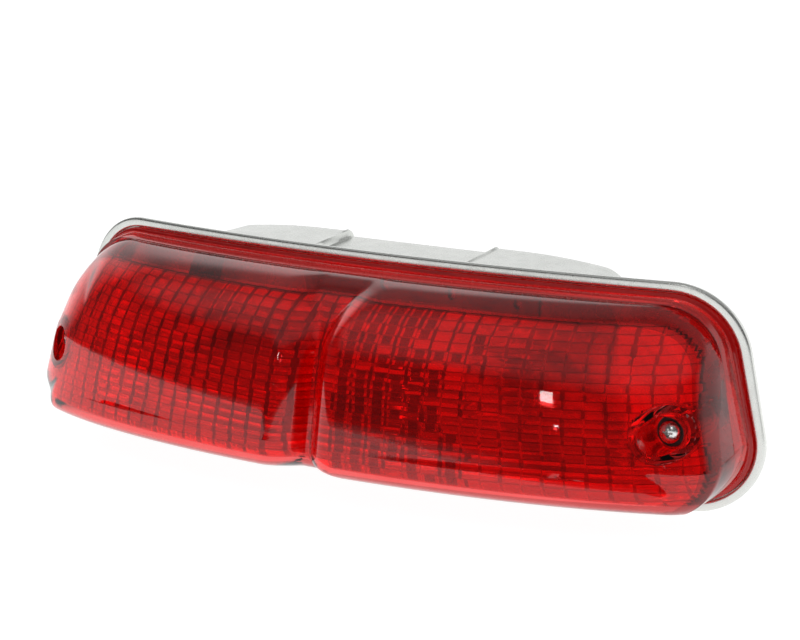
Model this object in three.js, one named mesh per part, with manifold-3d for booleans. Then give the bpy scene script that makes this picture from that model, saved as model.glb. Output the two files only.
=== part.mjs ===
// Wide two-lobe motorcycle tail light, in millimetres, +Z up, lens facing -Y.
// The origin is the centre of the flat back of the housing, which rests on the tail bracket.
import * as THREE from 'three';
import { mergeVertices } from 'three/addons/utils/BufferGeometryUtils.js';
import Module from 'manifold-3d';

const wasm = await Module();
wasm.setup();

// ---- driving dimensions ---------------------------------------------------------------
const GAP = 0.3;                      // clearance between pieces that touch
const LENS_TOP_HALF = 124.4;          // half length of the lens along its top edge
const LENS_BOTTOM_HALF = 139.4;       // half length along its bottom edge
const LENS_HALF_HEIGHT = 34;
const LIP = 3.6;                      // how far the housing stands out round the lens
const TOP_CORNER_R = 23;
const BOTTOM_CORNER_R = 19;
const FLANGE_Y = -34;                 // middle of the lens joint, ahead of the flat back
const FLANGE_SWEEP = 0.0019;          // the joint sweeps back by SWEEP * x * x / 2
const RIM_INSET = 1.5;                // the rim of the face, inside the lens outline
const RIM_DROP = 1.14;                // the rim sits this much lower than the outline
const RIM_DEPTH_TOP = 10.3;           // rim ahead of the joint at the top edge
const RIM_DEPTH_BOTTOM = 18.9;        // and at the bottom edge
const FACE_SWEEP = 0.0024;
const DOME_HEIGHT = 31.5;             // the face stands this far ahead of its rim
const DOME_CREST = -0.57;             // height of the crest, as a share of the half height
const GROOVE_DEPTH = 10;              // valley between the two lobes
const GROOVE_FLAT = 1.2;
const GROOVE_HALF = 13;
const GROOVE_FLARE = 8;               // the valley widens by this much towards the top and bottom
const CORNER_FALL = 0.5;              // how steeply the dome rises behind a rounded corner
const CORNER_POWER = 5;
const LENS_WALL = 2.6;
const BODY_SCALE = 0.7;               // the bulb chamber's length over the flange's length
const HOUSING_WALL = 2.2;
const SCREW_X = 119;
const SCREW_Z = -5.2;
const SCREW_RECESS_R = 6;
const SCREW_RECESS_DEPTH = 10;
const SCREW_R = 1.9;
const SCREW_TIP_Y = -8;
const POST_FRONT_Y = -24;
const POST_BACK_Y = -5;
const POST_R = 5.5;
const BULB_X = 58;
const SOCKET_R = 9;
const SOCKET_BORE_R = 8.2;
const SOCKET_MOUTH_Y = -24;
const SOCKET_BACK_Y = 8;
const CAP_R = 7.5;
const CAP_BACK_Y = -4.5;
const CAP_FRONT_Y = -23.5;
const PIN_R = 1;
const PIN_REACH = 9.5;
const PIN_LEVELS = [-12, -15];        // the two bayonet pins sit at different heights
const BULB_TWIST = 20;                // degrees
const BULB_PRESS = 2.5;
const GLASS_R = 12.5;
const GLASS_FRONT_Y = -57;
const STUD_X = 34;
const STUD_R = 3;
const GROMMET_Z = -19;
const GROMMET_HOLE_R = 6;
const REST_PAD = { left: -13, right: 17, low: -6, high: 11 };
const PAD_GROOVE = 1;
const ARC_STEPS = 5;                  // steps round each corner of the outline

// ---- finishes -------------------------------------------------------------------------
const finish = (color, roughness, metalness) =>
  () => new THREE.MeshStandardMaterial({ color, roughness, metalness });
const redLens = finish(0xb0101a, 0.08, 0);
const silverShell = finish(0xd9dcd6, 0.28, 0.85);
const blackRubber = finish(0x1b1b1c, 0.8, 0);
const paleSeal = finish(0xc3c0ba, 0.7, 0);
const brightSteel = finish(0xc9cac8, 0.25, 1);
const zincSteel = finish(0xa9abaa, 0.4, 1);
const brass = finish(0xb59a58, 0.35, 1);
const clearGlass = finish(0xf2f5f5, 0.03, 0);
const brownBoard = finish(0x6b4a2c, 0.6, 0);
const tungsten = finish(0x6d6d70, 0.5, 1);

// ---- solids ---------------------------------------------------------------------------
function solidOf(geometry) {
  const plain = geometry.clone();
  for (const name of ['normal', 'uv']) plain.deleteAttribute(name);
  const merged = mergeVertices(plain, 1e-4);
  return new wasm.Manifold(new wasm.Mesh({
    numProp: 3,
    vertProperties: new Float32Array(merged.attributes.position.array),
    triVerts: new Uint32Array(merged.index.array),
  }));
}

function geometryOf(solid) {
  const mesh = solid.getMesh();
  const geometry = new THREE.BufferGeometry();
  geometry.setAttribute('position', new THREE.BufferAttribute(new Float32Array(mesh.vertProperties), 3));
  geometry.setIndex(new THREE.BufferAttribute(new Uint32Array(mesh.triVerts), 1));
  geometry.computeVertexNormals();
  return geometry;
}

// A closed skin through a list of rings with equal point counts, capped flat at both ends
// unless loop joins the last ring to the first.
function skin(rings, loop = false) {
  const count = rings[0].length;
  const vertices = rings.flat().flatMap((p) => [p.x, p.y, p.z]);
  const faces = [];
  const spans = loop ? rings.length : rings.length - 1;
  for (let r = 0; r < spans; r++) {
    const a = r * count;
    const b = ((r + 1) % rings.length) * count;
    for (let i = 0; i < count; i++) {
      const j = (i + 1) % count;
      faces.push(a + i, a + j, b + j, a + i, b + j, b + i);
    }
  }
  if (!loop) {
    const cap = (ring, offset, flip) => {
      const flat = ring.map((p) => new THREE.Vector2(p.x, p.z));
      for (const [i, j, k] of THREE.ShapeUtils.triangulateShape(flat, [])) {
        faces.push(...(flip ? [i, k, j] : [i, j, k]).map((n) => n + offset));
      }
    };
    const turnsLeft = THREE.ShapeUtils.area(rings[0].map((p) => new THREE.Vector2(p.x, p.z))) > 0;
    cap(rings[0], 0, turnsLeft);
    cap(rings[rings.length - 1], (rings.length - 1) * count, !turnsLeft);
  }
  const geometry = new THREE.BufferGeometry();
  geometry.setAttribute('position', new THREE.Float32BufferAttribute(vertices, 3));
  geometry.setIndex(volumeOf(vertices, faces) < 0 ? faces.reverse() : faces);
  return geometry;
}

function volumeOf(v, f) {
  let sum = 0;
  const corner = (n) => new THREE.Vector3(v[3 * n], v[3 * n + 1], v[3 * n + 2]);
  for (let t = 0; t < f.length; t += 3) {
    sum += corner(f[t]).dot(corner(f[t + 1]).cross(corner(f[t + 2]))) / 6;
  }
  return sum;
}

// Turned piece about the Y axis at (x, z): profile points are [radius, y].
function turned(profile, x = 0, z = 0, sides = 20) {
  const points = profile.map(([r, y]) => new THREE.Vector2(Math.max(r, 0), y));
  const geometry = new THREE.LatheGeometry(points, sides);
  geometry.translate(x, 0, z);
  const solid = solidOf(geometry);
  if (solid.volume() > 0) return solid;
  return solidOf(new THREE.LatheGeometry(points.reverse(), sides).translate(x, 0, z));
}

const rod = (radius, y0, y1, x = 0, z = 0, sides = 20) =>
  turned([[0, y0], [radius, y0], [radius, y1], [0, y1]], x, z, sides);

const tube = (outer, inner, y0, y1, x = 0, z = 0, sides = 20) =>
  rod(outer, y0, y1, x, z, sides).subtract(rod(inner, y0 - 1, y1 + 1, x, z, sides));

function block(x0, x1, y0, y1, z0, z1) {
  const geometry = new THREE.BoxGeometry(x1 - x0, y1 - y0, z1 - z0);
  return solidOf(geometry.translate((x0 + x1) / 2, (y0 + y1) / 2, (z0 + z1) / 2));
}

// Part of a ring about the Y axis at (x, 0), between two angles in degrees.
function sector(inner, outer, from, to, y0, y1, x) {
  const [a, b] = [from, to].map(THREE.MathUtils.degToRad);
  const shape = new THREE.Shape();
  shape.absarc(0, 0, outer, a, b, false);
  shape.absarc(0, 0, inner, b, a, true);
  shape.closePath();
  const geometry = new THREE.ExtrudeGeometry(shape, { depth: y1 - y0, bevelEnabled: false, curveSegments: 6 });
  return solidOf(geometry.rotateX(Math.PI / 2).translate(x, y1, 0));
}

class Helix extends THREE.Curve {
  constructor(radius, turns, y0, y1, x, z) {
    super();
    Object.assign(this, { radius, turns, y0, y1, x, z });
  }

  getPoint(t, target = new THREE.Vector3()) {
    const angle = t * this.turns * 2 * Math.PI;
    return target.set(
      this.x + this.radius * Math.cos(angle),
      this.y0 + (this.y1 - this.y0) * t,
      this.z + this.radius * Math.sin(angle),
    );
  }
}

function wireAlong(curve, radius, steps, sides) {
  const section = new THREE.Shape();
  section.absarc(0, 0, radius, 0, 2 * Math.PI, false);
  return new THREE.ExtrudeGeometry(section, { steps, curveSegments: sides, extrudePath: curve, bevelEnabled: false });
}

// ---- outline shared by lens, gasket and housing ---------------------------------------
const HALF_BREAKS = [0.045, 0.085, 0.13, 0.17, 0.22, 0.39, 0.41, 0.6, 0.8, 1];
const BREAKS = [...HALF_BREAKS.map((f) => -f).reverse(), 0, ...HALF_BREAKS];
const SIDE_BREAKS = [-1, 0, 1];

function outline(offset, cornerShift = offset) {
  const top = LENS_TOP_HALF + offset;
  const bottom = LENS_BOTTOM_HALF + offset;
  const half = LENS_HALF_HEIGHT + offset;
  const corners = [
    [top, half, TOP_CORNER_R + cornerShift],
    [-top, half, TOP_CORNER_R + cornerShift],
    [-bottom, -half, BOTTOM_CORNER_R + cornerShift],
    [bottom, -half, BOTTOM_CORNER_R + cornerShift],
  ];
  const arcs = corners.map(([x, z, r], i) => {
    const before = corners[(i + 3) % 4];
    const after = corners[(i + 1) % 4];
    const here = new THREE.Vector2(x, z);
    const a = new THREE.Vector2(before[0] - x, before[1] - z).normalize();
    const b = new THREE.Vector2(after[0] - x, after[1] - z).normalize();
    const halfAngle = Math.acos(a.dot(b)) / 2;
    const centre = a.clone().add(b).normalize().multiplyScalar(r / Math.sin(halfAngle)).add(here);
    const start = a.multiplyScalar(r / Math.tan(halfAngle)).add(here).sub(centre).angle();
    const sweep = Math.PI - 2 * halfAngle;
    return Array.from({ length: ARC_STEPS + 1 }, (_, k) => {
      const angle = start + (sweep * k) / ARC_STEPS;
      return { x: centre.x + r * Math.cos(angle), z: centre.y + r * Math.sin(angle) };
    });
  });
  const points = [];
  arcs.forEach((arc, i) => {
    points.push(...arc);
    const from = arc[ARC_STEPS];
    const to = arcs[(i + 1) % 4][0];
    const breaks = i % 2 === 0 ? BREAKS : SIDE_BREAKS;
    for (const f of breaks.slice(1, -1)) {
      const t = (f + 1) / 2;
      points.push({ x: from.x + (to.x - from.x) * t, z: from.z + (to.z - from.z) * t });
    }
  });
  return points;
}

const jointY = (x) => FLANGE_Y + (FLANGE_SWEEP * x * x) / 2;

const flangeRing = (offset, behind) =>
  outline(offset).map(({ x, z }) => ({ x, y: jointY(x) + behind, z }));

// ---- lens -----------------------------------------------------------------------------
const faceHalfHeight = LENS_HALF_HEIGHT - RIM_INSET;

function faceY(x, z, shrink = 0) {
  const half = faceHalfHeight - shrink;
  const v = THREE.MathUtils.clamp((z + RIM_DROP) / half, -1, 1);
  const middle = (LENS_TOP_HALF + LENS_BOTTOM_HALF) / 2 - RIM_INSET - shrink;
  const reach = middle + ((LENS_TOP_HALF - LENS_BOTTOM_HALF) / 2) * v;
  const u = THREE.MathUtils.clamp(Math.abs(x) / reach, 0, 1);
  const profile = v > DOME_CREST
    ? (1 - ((v - DOME_CREST) / (1 - DOME_CREST)) ** 4) ** 0.567
    : (1 - ((DOME_CREST - v) / (1 + DOME_CREST)) ** 4.47) ** 0.775;
  const ends = Math.max(1 - u ** 3.75, 0) ** (0.254 + 0.25 * Math.max(v, 0));
  const intoTop = THREE.MathUtils.clamp((v - 0.3) / 0.62, 0, 1);
  const intoBottom = THREE.MathUtils.clamp((-0.7 - v) / 0.28, 0, 1);
  const flare = GROOVE_FLARE * (intoTop ** 2 + intoBottom ** 2);
  const flank = (Math.abs(x) - GROOVE_FLAT - flare) / (GROOVE_HALF - GROOVE_FLAT);
  const slot = THREE.MathUtils.clamp(1 - flank, 0, 1);
  const rim = RIM_DEPTH_TOP + ((RIM_DEPTH_BOTTOM - RIM_DEPTH_TOP) * (1 - v)) / 2;
  const dome = profile * (DOME_HEIGHT * ends - GROOVE_DEPTH * slot * slot);
  return FLANGE_Y - rim - dome * cornerFall(x, z, shrink) + shrink + (FACE_SWEEP * x * x) / 2;
}

// Brings the dome down to the rim where the rim cuts a corner: 1 away from the corners.
function cornerFall(x, z, shrink) {
  const half = LENS_HALF_HEIGHT - RIM_INSET - shrink;
  const upper = z + RIM_DROP > 0;
  const radius = (upper ? TOP_CORNER_R : BOTTOM_CORNER_R) - 1.4 * RIM_INSET - shrink;
  const lean = (LENS_BOTTOM_HALF - LENS_TOP_HALF) / (2 * LENS_HALF_HEIGHT);
  const edge = (LENS_TOP_HALF + LENS_BOTTOM_HALF) / 2 - RIM_INSET - shrink - lean * (z + RIM_DROP);
  const intoSide = THREE.MathUtils.clamp(1 - (edge - Math.abs(x)) / Math.hypot(1, lean) / radius, 0, 1);
  const intoEdge = THREE.MathUtils.clamp(1 - (half - Math.abs(z + RIM_DROP)) / radius, 0, 1);
  const roundIn = Math.max(1 - Math.hypot(intoSide, intoEdge), 0);
  const squareSum = intoSide ** CORNER_POWER + intoEdge ** CORNER_POWER;
  const squareIn = Math.max(1 - squareSum ** (1 / CORNER_POWER), 0.001);
  return Math.min(roundIn / squareIn, 1) ** CORNER_FALL;
}

// The rings of the face shrink from the rim towards the crest, a line CREST_LENGTH as long as the rim.
const CREST_LENGTH = 0.75;
const RING_SCALES = [1, 0.994, 0.975, 0.94, 0.87, 0.77, 0.64, 0.45, 0.24, 0.05];

function faceRings(shrink) {
  const rim = outline(-RIM_INSET - shrink, -1.4 * RIM_INSET - shrink);
  const crest = DOME_CREST * faceHalfHeight;
  return RING_SCALES.map((t) => rim.map((p) => {
    const x = p.x * (CREST_LENGTH + (1 - CREST_LENGTH) * t);
    const z = crest + (p.z - crest) * t - RIM_DROP;
    return { x, y: faceY(x, z, shrink), z };
  }));
}

function lensSolid() {
  const foot = [flangeRing(0, 1.9), flangeRing(0, -0.9), flangeRing(-0.9, -1.3)];
  const innerFoot = [flangeRing(-3.4, -2), flangeRing(-3.4, 1.9)];
  const inner = faceRings(LENS_WALL).reverse();
  const flatBack = outline(0).map(({ x, z }) => ({ x, y: 0, z }));
  const envelope = solidOf(skin([flatBack, ...foot, ...faceRings(0)]));
  let lens = solidOf(skin([...inner, ...innerFoot, ...foot, ...faceRings(0)]));
  for (const side of [-1, 1]) {
    const x = side * SCREW_X;
    const mouth = faceY(x, SCREW_Z);
    const floor = mouth + SCREW_RECESS_DEPTH;
    const cup = rod(10, mouth - 12, floor + 2.4, x, SCREW_Z);
    const stem = rod(5, floor, POST_FRONT_Y - GAP, x, SCREW_Z);
    lens = lens.add(cup.add(stem).intersect(envelope));
    lens = lens.subtract(rod(SCREW_RECESS_R, mouth - 15, floor, x, SCREW_Z));
    lens = lens.subtract(rod(SCREW_R + 0.5, floor - 1, POST_FRONT_Y + 1, x, SCREW_Z));
  }
  return lens;
}

// ---- housing --------------------------------------------------------------------------
const CENTRE_SECTION_HALF = 29.8;     // between the two raised bulb chambers

// The chamber behind the flange. Its top rises towards the back and falls off to the sides.
function chamberRing(scale, topFront, inset, y) {
  return outline(0).map((p) => {
    const x = p.x * scale;
    const slope = 4 * (Math.max(Math.abs(x) - 40, 0) / 45) ** 2;
    const lowered = Math.abs(x) < CENTRE_SECTION_HALF ? 1.8 : 0;
    const top = topFront - (topFront > 36 ? slope : slope / 3) - lowered;
    const zScale = p.z > 0 ? top / LENS_HALF_HEIGHT : 33 / LENS_HALF_HEIGHT;
    const z = p.z * zScale;
    const pull = Math.hypot(p.x / LENS_BOTTOM_HALF, p.z / LENS_HALF_HEIGHT);
    return {
      x: x - (inset * p.x) / LENS_BOTTOM_HALF / pull,
      y: y(x),
      z: z - (inset * p.z) / LENS_HALF_HEIGHT / pull,
    };
  });
}

function housingSolid() {
  const chamberFront = (behind) => (x) => jointY(x) + behind;
  const flat = (y) => () => y;
  const wallInset = HOUSING_WALL * 1.15;
  const rings = [
    chamberRing(0.68, 38, wallInset, flat(-HOUSING_WALL)),
    chamberRing(BODY_SCALE, 35.5, wallInset, chamberFront(7)),
    flangeRing(-5.8, 5.6),
    flangeRing(-5.8, 1.6),
    flangeRing(-4.2, 1.6),
    flangeRing(-4.2, 3.6),
    flangeRing(0.5, 3.6),
    flangeRing(0.5, 0),
    flangeRing(LIP, 0),
    flangeRing(LIP, 2.2),
    flangeRing(1.4, 2.4),
    flangeRing(0.9, 8),
    chamberRing(BODY_SCALE, 35.5, 0, chamberFront(9.5)),
    chamberRing(0.68, 38, 0, flat(-2)),
    chamberRing(0.675, 38, 1.5, flat(0)),
  ];
  let housing = solidOf(skin(rings));
  for (const side of [-1, 1]) {
    const x = side * SCREW_X;
    housing = housing.add(rod(POST_R, POST_FRONT_Y, POST_BACK_Y, x, SCREW_Z));
    housing = housing.subtract(rod(SCREW_R + 0.1, POST_FRONT_Y - 1, POST_BACK_Y - 1.5, x, SCREW_Z));
    housing = housing.subtract(rod(SOCKET_R + GAP, -4, 2, side * BULB_X));
    housing = housing.subtract(rod(STUD_R + GAP, -4, 2, side * STUD_X));
  }
  return housing.subtract(rod(GROMMET_HOLE_R + 1.8, -4, 2, 0, GROMMET_Z)).subtract(padGroove());
}

// A shallow groove sets the middle rest pad apart from the rest of the flat back.
function padGroove() {
  const { left, right, low, high } = REST_PAD;
  const wide = block(left - PAD_GROOVE, right + PAD_GROOVE, -0.5, 1, low - PAD_GROOVE, high + PAD_GROOVE);
  return wide.subtract(block(left, right, -1, 2, low, high));
}

const gasketSkin = () => skin([
  flangeRing(0.1, 2.2), flangeRing(0.1, 3.3), flangeRing(-3.8, 3.3), flangeRing(-3.8, 2.2),
], true);

// ---- screws, studs and washers --------------------------------------------------------
function lensScrew(side) {
  const x = side * SCREW_X;
  const seat = faceY(x, SCREW_Z) + SCREW_RECESS_DEPTH;
  const under = seat - 1.6;
  const head = turned([
    [0, under - 2.7], [1.8, under - 2.6], [3, under - 2.1], [3.6, under - 1.1], [3.6, under], [0, under],
  ], x, SCREW_Z);
  const shank = rod(SCREW_R, under - 0.5, SCREW_TIP_Y, x, SCREW_Z, 16);
  const slotA = block(x - 2.1, x + 2.1, under - 4, under - 1.2, SCREW_Z - 0.45, SCREW_Z + 0.45);
  const slotB = block(x - 0.45, x + 0.45, under - 4, under - 1.2, SCREW_Z - 2.1, SCREW_Z + 2.1);
  return head.add(shank).subtract(slotA.add(slotB));
}

function screwWasher(side) {
  const x = side * SCREW_X;
  const seat = faceY(x, SCREW_Z) + SCREW_RECESS_DEPTH;
  return tube(5, SCREW_R + 0.3, seat - 1.3, seat - GAP, x, SCREW_Z);
}

const stud = (side) => rod(8, -HOUSING_WALL - GAP - 1.8, -HOUSING_WALL - GAP, side * STUD_X)
  .add(rod(STUD_R, -4, 20, side * STUD_X, 0, 18))
  .add(turned([[0, 19.9], [STUD_R - 0.1, 19.9], [STUD_R - 0.9, 21], [0, 21]], side * STUD_X, 0, 18));

const mountRubber = (side) => turned([
  [STUD_R + GAP, GAP], [9, GAP], [10, 1.3], [9, 3.3], [STUD_R + GAP, 3.3], [STUD_R + GAP, GAP],
], side * STUD_X);

const mountWasher = (side) => tube(8, STUD_R + GAP, 3.6, 5.1, side * STUD_X);

const mountNut = (side) => rod(5.8, 5.4, 10.4, side * STUD_X, 0, 6)
  .subtract(rod(STUD_R + 0.15, 5, 11, side * STUD_X, 0, 18));

// ---- bulb and its socket --------------------------------------------------------------
function socket(side) {
  const x = side * BULB_X;
  const shell = turned([
    [SOCKET_BORE_R, SOCKET_MOUTH_Y], [SOCKET_R, SOCKET_MOUTH_Y],
    [SOCKET_R, -4.1], [14, -4.1], [14, -2.5], [SOCKET_R, -2.5],
    [SOCKET_R, SOCKET_BACK_Y], [4, SOCKET_BACK_Y], [4, SOCKET_BACK_Y - 0.9],
    [SOCKET_BORE_R, SOCKET_BACK_Y - 0.9], [SOCKET_BORE_R, SOCKET_MOUTH_Y],
  ], x, 0, 28);
  const pinHalf = THREE.MathUtils.radToDeg((PIN_R + 0.4) / SOCKET_BORE_R);
  return PIN_LEVELS.reduce((metal, level, i) => {
    const start = 180 * i;
    const window = sector(7.4, 10, start - pinHalf, start + BULB_TWIST + pinHalf,
      level - PIN_R - 0.4, level + PIN_R + BULB_PRESS + 0.4, x);
    const entry = sector(7.4, 10, start + BULB_TWIST - pinHalf, start + BULB_TWIST + pinHalf,
      SOCKET_MOUTH_Y - 1, level, x);
    return metal.subtract(window).subtract(entry);
  }, shell);
}

function bulbCap(side) {
  const x = side * BULB_X;
  let cap = turned([
    [0, CAP_BACK_Y], [CAP_R - 0.6, CAP_BACK_Y], [CAP_R, CAP_BACK_Y - 0.6], [CAP_R, CAP_FRONT_Y],
    [CAP_R - 0.5, CAP_FRONT_Y], [CAP_R - 0.5, CAP_FRONT_Y + 5], [0, CAP_FRONT_Y + 5],
  ], x, 0, 24);
  for (const z of [-3, 3]) cap = cap.add(rod(1.5, CAP_BACK_Y - 1, CAP_BACK_Y + 1, x, z, 12));
  PIN_LEVELS.forEach((level, i) => {
    const reach = i === 0 ? PIN_REACH : -PIN_REACH;
    const pin = new THREE.CylinderGeometry(PIN_R, PIN_R, Math.abs(reach) - 5, 12);
    pin.rotateZ(Math.PI / 2).translate(x + Math.sign(reach) * (5 + (Math.abs(reach) - 5) / 2), level, 0);
    cap = cap.add(solidOf(pin));
  });
  return cap;
}

const bulbGlass = (side) => turned([
  [0, GLASS_FRONT_Y], [5, GLASS_FRONT_Y + 1], [9.2, GLASS_FRONT_Y + 4], [11.8, GLASS_FRONT_Y + 8.5],
  [GLASS_R, GLASS_FRONT_Y + 13], [11.8, GLASS_FRONT_Y + 18], [9.4, GLASS_FRONT_Y + 23],
  [7.4, GLASS_FRONT_Y + 28], [6.7, CAP_FRONT_Y - 1], [6.7, CAP_FRONT_Y + 4.6],
  [5.8, CAP_FRONT_Y + 4.6], [5.8, CAP_FRONT_Y - 1], [6.5, GLASS_FRONT_Y + 28],
  [8.6, GLASS_FRONT_Y + 22.8], [11, GLASS_FRONT_Y + 17.8], [GLASS_R - 0.8, GLASS_FRONT_Y + 13],
  [11, GLASS_FRONT_Y + 8.8], [8.6, GLASS_FRONT_Y + 4.7], [4.6, GLASS_FRONT_Y + 1.9], [0, GLASS_FRONT_Y + 0.9],
], side * BULB_X, 0, 20);

const FILAMENT_Y = { brake: -44, tail: -38 };
const FILAMENT_HALF = 3;

function bulbStem(side) {
  const x = side * BULB_X;
  const bead = turned([
    [0, CAP_FRONT_Y + 4.4], [4.8, CAP_FRONT_Y + 4.2], [3.4, CAP_FRONT_Y - 1.5], [1.6, CAP_FRONT_Y - 6],
    [0, CAP_FRONT_Y - 6.5],
  ], x, 0, 16);
  return Object.values(FILAMENT_Y).reduce((stem, y, i) => {
    const z = i === 0 ? 1 : -1;
    return [-1, 1].reduce((body, end) => {
      const wire = rod(0.35, y + 0.6, CAP_FRONT_Y - 0.5, x + end * (FILAMENT_HALF + 0.2), z, 8);
      const foot = block(x + Math.min(0, end * 3.4), x + Math.max(0, end * 3.4),
        CAP_FRONT_Y - 3, CAP_FRONT_Y - 2.3, z - 0.35, z + 0.35);
      return body.add(wire).add(foot);
    }, stem);
  }, bead);
}

function filament(side, kind) {
  const z = kind === 'brake' ? 1 : -1;
  const coil = new Helix(0.5, 4, -FILAMENT_HALF, FILAMENT_HALF, 0, 0);
  const geometry = wireAlong(coil, 0.16, 24, 2);
  return geometry.rotateZ(Math.PI / 2).translate(side * BULB_X, FILAMENT_Y[kind] - 0.6, z);
}

const contactPlate = (side) => {
  const x = side * BULB_X;
  const plate = rod(7.9, -3.2, -0.4, x);
  return [-3, 3].reduce((body, z) => body.add(rod(1.3, -1, 1.4, x, z, 12)), plate);
};

const contactSpring = (side) =>
  wireAlong(new Helix(6, 2.5, 0.5, SOCKET_BACK_Y - 1.9, side * BULB_X, 0), 0.45, 30, 3);

const socketBoot = (side) => turned([
  [SOCKET_R + GAP, 0.8], [12.4, 0.8], [12.4, 3], [10.9, 4], [10.9, 12], [6.5, 17], [6.5, 21],
  [3.2, 21], [3.2, 16], [7.6, 9.5], [SOCKET_R + GAP, 9.2], [SOCKET_R + GAP, 0.8],
], side * BULB_X, 0, 20);

const cableGrommet = () => turned([
  [GROMMET_HOLE_R - 1.5, -5], [GROMMET_HOLE_R + 3.6, -5], [GROMMET_HOLE_R + 3.6, -HOUSING_WALL - GAP],
  [GROMMET_HOLE_R + 1.5, -HOUSING_WALL - GAP], [GROMMET_HOLE_R + 1.5, GAP], [GROMMET_HOLE_R + 3.6, GAP],
  [GROMMET_HOLE_R + 3.2, 3], [GROMMET_HOLE_R, 4.5], [GROMMET_HOLE_R - 1.5, 4.5], [GROMMET_HOLE_R - 1.5, -5],
], 0, GROMMET_Z, 20);

const earthStrip = () => block(-48, 48, -3.4, -HOUSING_WALL - GAP, 17, 24);

// ---- assembly -------------------------------------------------------------------------
const lamp = new THREE.Group();
lamp.name = 'tail_light';

function place(name, shape, material) {
  const geometry = shape.isBufferGeometry ? shape : geometryOf(shape);
  const mesh = new THREE.Mesh(geometry, material());
  mesh.name = name;
  lamp.add(mesh);
}

place('housing', housingSolid(), silverShell);
place('lens', lensSolid(), redLens);
place('lens_gasket', gasketSkin(), paleSeal);
place('cable_grommet', cableGrommet(), blackRubber);
place('earth_strip', earthStrip(), zincSteel);

for (const [word, side] of [['left', -1], ['right', 1]]) {
  place(`lens_screw_${word}`, lensScrew(side), brightSteel);
  place(`screw_washer_${word}`, screwWasher(side), blackRubber);
  place(`mounting_stud_${word}`, stud(side), zincSteel);
  place(`mounting_rubber_${word}`, mountRubber(side), blackRubber);
  place(`mounting_washer_${word}`, mountWasher(side), zincSteel);
  place(`mounting_nut_${word}`, mountNut(side), zincSteel);
  place(`bulb_socket_${word}`, socket(side), zincSteel);
  place(`socket_boot_${word}`, socketBoot(side), blackRubber);
  place(`contact_plate_${word}`, contactPlate(side), brownBoard);
  place(`contact_spring_${word}`, contactSpring(side), brightSteel);
  place(`bulb_cap_${word}`, bulbCap(side), brass);
  place(`bulb_glass_${word}`, bulbGlass(side), clearGlass);
  place(`bulb_stem_${word}`, bulbStem(side), clearGlass);
  place(`brake_filament_${word}`, filament(side, 'brake'), tungsten);
  place(`tail_filament_${word}`, filament(side, 'tail'), tungsten);
}

export default lamp;
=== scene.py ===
import math

import bmesh
import bpy
import numpy as np
from mathutils import Matrix, Vector


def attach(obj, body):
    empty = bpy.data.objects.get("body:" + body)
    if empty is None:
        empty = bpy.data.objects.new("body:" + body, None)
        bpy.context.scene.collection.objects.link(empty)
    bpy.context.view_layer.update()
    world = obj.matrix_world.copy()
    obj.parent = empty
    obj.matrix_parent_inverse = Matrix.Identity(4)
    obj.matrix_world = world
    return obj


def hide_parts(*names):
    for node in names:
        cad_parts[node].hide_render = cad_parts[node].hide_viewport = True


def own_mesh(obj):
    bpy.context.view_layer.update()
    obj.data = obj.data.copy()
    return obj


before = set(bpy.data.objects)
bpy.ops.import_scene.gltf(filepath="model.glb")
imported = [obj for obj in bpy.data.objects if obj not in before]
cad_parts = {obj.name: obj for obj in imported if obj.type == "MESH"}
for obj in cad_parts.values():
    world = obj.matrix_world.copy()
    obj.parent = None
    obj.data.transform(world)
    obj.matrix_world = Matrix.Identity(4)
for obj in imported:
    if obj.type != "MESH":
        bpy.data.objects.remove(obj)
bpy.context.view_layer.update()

MM = 0.001
scene = bpy.context.scene

# ---- camera ---------------------------------------------------------------------------
CAMERA_AT = Vector((0.42752, -0.73125, 0.17633))
CAMERA_AZIMUTH = 0.5382
CAMERA_ELEVATION = 0.1955
CAMERA_ROLL = 0.0216
CAMERA_LENS = 109.82


def make_camera():
    a, e, r = CAMERA_AZIMUTH, CAMERA_ELEVATION, CAMERA_ROLL
    back = Vector((math.sin(a) * math.cos(e), -math.cos(a) * math.cos(e), math.sin(e)))
    right = Vector((math.cos(a), math.sin(a), 0))
    up = back.cross(right)
    x_axis = math.cos(r) * right + math.sin(r) * up
    y_axis = -math.sin(r) * right + math.cos(r) * up
    data = bpy.data.cameras.new("camera")
    data.sensor_width = 36
    data.lens = CAMERA_LENS
    data.clip_start, data.clip_end = 0.02, 60
    camera = bpy.data.objects.new("camera", data)
    turn = Matrix((x_axis, y_axis, back)).transposed().to_4x4()
    camera.matrix_world = Matrix.Translation(CAMERA_AT) @ turn
    scene.collection.objects.link(camera)
    scene.camera = camera


make_camera()

# ---- materials ------------------------------------------------------------------------


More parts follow.
